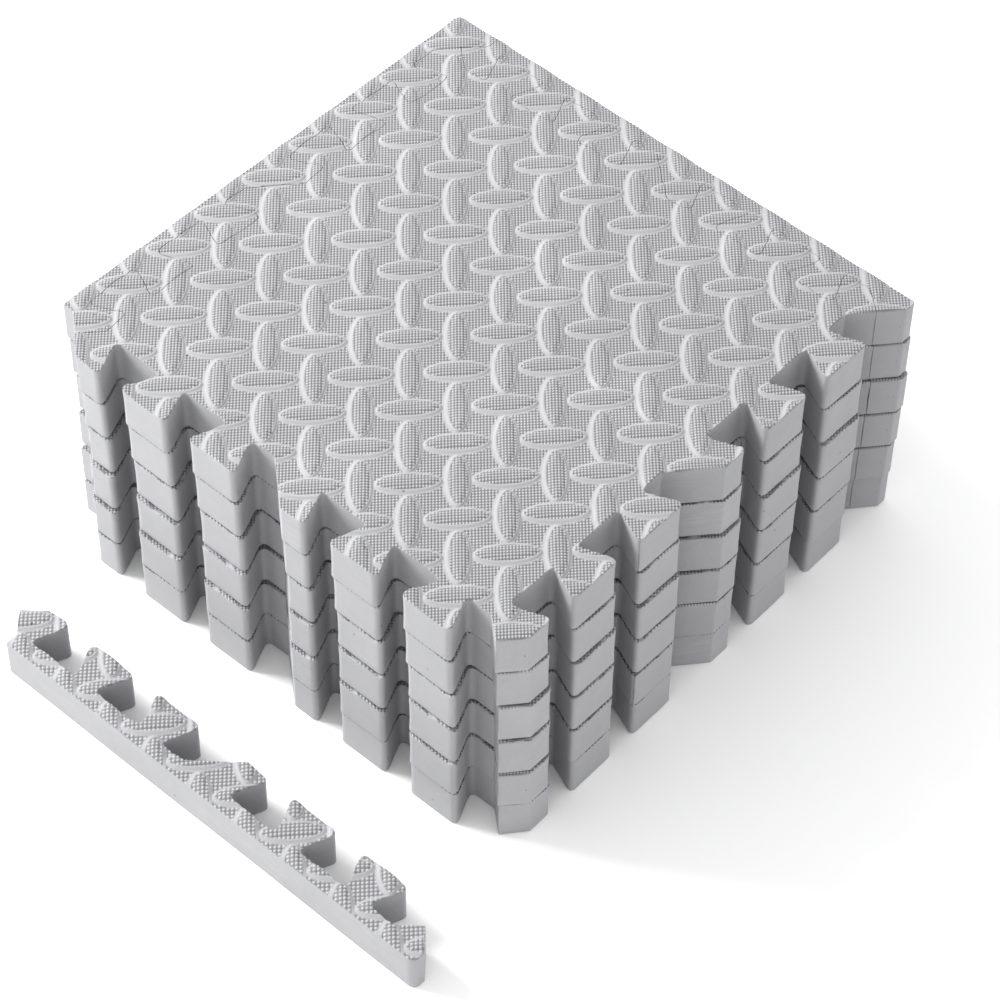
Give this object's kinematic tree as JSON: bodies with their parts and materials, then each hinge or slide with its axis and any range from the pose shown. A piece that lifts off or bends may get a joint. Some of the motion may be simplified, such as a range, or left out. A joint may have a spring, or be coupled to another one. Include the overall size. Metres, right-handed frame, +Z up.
{
  "type": "interlocking foam blocking mat set",
  "caption": "Stack of square interlocking foam mats with a raised oval tread, toothed on all sides, with border strips on two sides and one loose border strip.",
  "frame": {"origin": "middle of the bottom mat's underside, on the surface the stack stands on", "axes": "+X along the mats' front-left side towards the front corner, +Y along the front-right side away from the front corner, +Z up through the stack"},
  "size_m": [0.3386, 0.3997, 0.1587],
  "materials": {
    "mat_foam": "matte light grey closed-cell EVA foam, finely pebbled on top with raised oval treads, smooth cut sides",
    "border_foam": "matte light grey closed-cell EVA foam, the same tread on top, smooth cut sides"
  },
  "bodies": {
    "mat_1": {"mat_1": "mat_foam"},
    "back_left_border_1": {"back_left_border_1": "border_foam"},
    "back_right_border_1": {"back_right_border_1": "border_foam"},
    "mat_2": {"mat_2": "mat_foam"},
    "back_left_border_2": {"back_left_border_2": "border_foam"},
    "back_right_border_2": {"back_right_border_2": "border_foam"},
    "mat_3": {"mat_3": "mat_foam"},
    "back_left_border_3": {"back_left_border_3": "border_foam"},
    "back_right_border_3": {"back_right_border_3": "border_foam"},
    "mat_4": {"mat_4": "mat_foam"},
    "back_left_border_4": {"back_left_border_4": "border_foam"},
    "back_right_border_4": {"back_right_border_4": "border_foam"},
    "mat_5": {"mat_5": "mat_foam"},
    "back_left_border_5": {"back_left_border_5": "border_foam"},
    "back_right_border_5": {"back_right_border_5": "border_foam"},
    "mat_6": {"mat_6": "mat_foam"},
    "back_left_border_6": {"back_left_border_6": "border_foam"},
    "back_right_border_6": {"back_right_border_6": "border_foam"},
    "loose_border": {"loose_border": "border_foam"}
  },
  "joints": [
    {"name": "back_left_border_1_lift", "type": "slide", "parent": "mat_1", "child": "back_left_border_1", "axis": [0, 0, 1], "range_m": [0, 0.03]},
    {"name": "back_right_border_1_lift", "type": "slide", "parent": "back_left_border_1", "child": "back_right_border_1", "axis": [0, 0, 1], "range_m": [0, 0.03]},
    {"name": "mat_2_lift", "type": "slide", "parent": "back_right_border_1", "child": "mat_2", "axis": [0, 0, 1], "range_m": [0, 0.03]},
    {"name": "back_left_border_2_lift", "type": "slide", "parent": "mat_2", "child": "back_left_border_2", "axis": [0, 0, 1], "range_m": [0, 0.03]},
    {"name": "back_right_border_2_lift", "type": "slide", "parent": "back_left_border_2", "child": "back_right_border_2", "axis": [0, 0, 1], "range_m": [0, 0.03]},
    {"name": "mat_3_lift", "type": "slide", "parent": "back_right_border_2", "child": "mat_3", "axis": [0, 0, 1], "range_m": [0, 0.03]},
    {"name": "back_left_border_3_lift", "type": "slide", "parent": "mat_3", "child": "back_left_border_3", "axis": [0, 0, 1], "range_m": [0, 0.03]},
    {"name": "back_right_border_3_lift", "type": "slide", "parent": "back_left_border_3", "child": "back_right_border_3", "axis": [0, 0, 1], "range_m": [0, 0.03]},
    {"name": "mat_4_lift", "type": "slide", "parent": "back_right_border_3", "child": "mat_4", "axis": [0, 0, 1], "range_m": [0, 0.03]},
    {"name": "back_left_border_4_lift", "type": "slide", "parent": "mat_4", "child": "back_left_border_4", "axis": [0, 0, 1], "range_m": [0, 0.03]},
    {"name": "back_right_border_4_lift", "type": "slide", "parent": "back_left_border_4", "child": "back_right_border_4", "axis": [0, 0, 1], "range_m": [0, 0.03]},
    {"name": "mat_5_lift", "type": "slide", "parent": "back_right_border_4", "child": "mat_5", "axis": [0, 0, 1], "range_m": [0, 0.03]},
    {"name": "back_left_border_5_lift", "type": "slide", "parent": "mat_5", "child": "back_left_border_5", "axis": [0, 0, 1], "range_m": [0, 0.03]},
    {"name": "back_right_border_5_lift", "type": "slide", "parent": "back_left_border_5", "child": "back_right_border_5", "axis": [0, 0, 1], "range_m": [0, 0.03]},
    {"name": "mat_6_lift", "type": "slide", "parent": "back_right_border_5", "child": "mat_6", "axis": [0, 0, 1], "range_m": [0, 0.03]},
    {"name": "back_left_border_6_lift", "type": "slide", "parent": "mat_6", "child": "back_left_border_6", "axis": [0, 0, 1], "range_m": [0, 0.03]},
    {"name": "back_right_border_6_lift", "type": "slide", "parent": "back_left_border_6", "child": "back_right_border_6", "axis": [0, 0, 1], "range_m": [0, 0.03]},
    {"name": "loose_border_lift", "type": "slide", "parent": "mat_1", "child": "loose_border", "axis": [0, 0, 1], "range_m": [0, 0.03]}
  ]
}
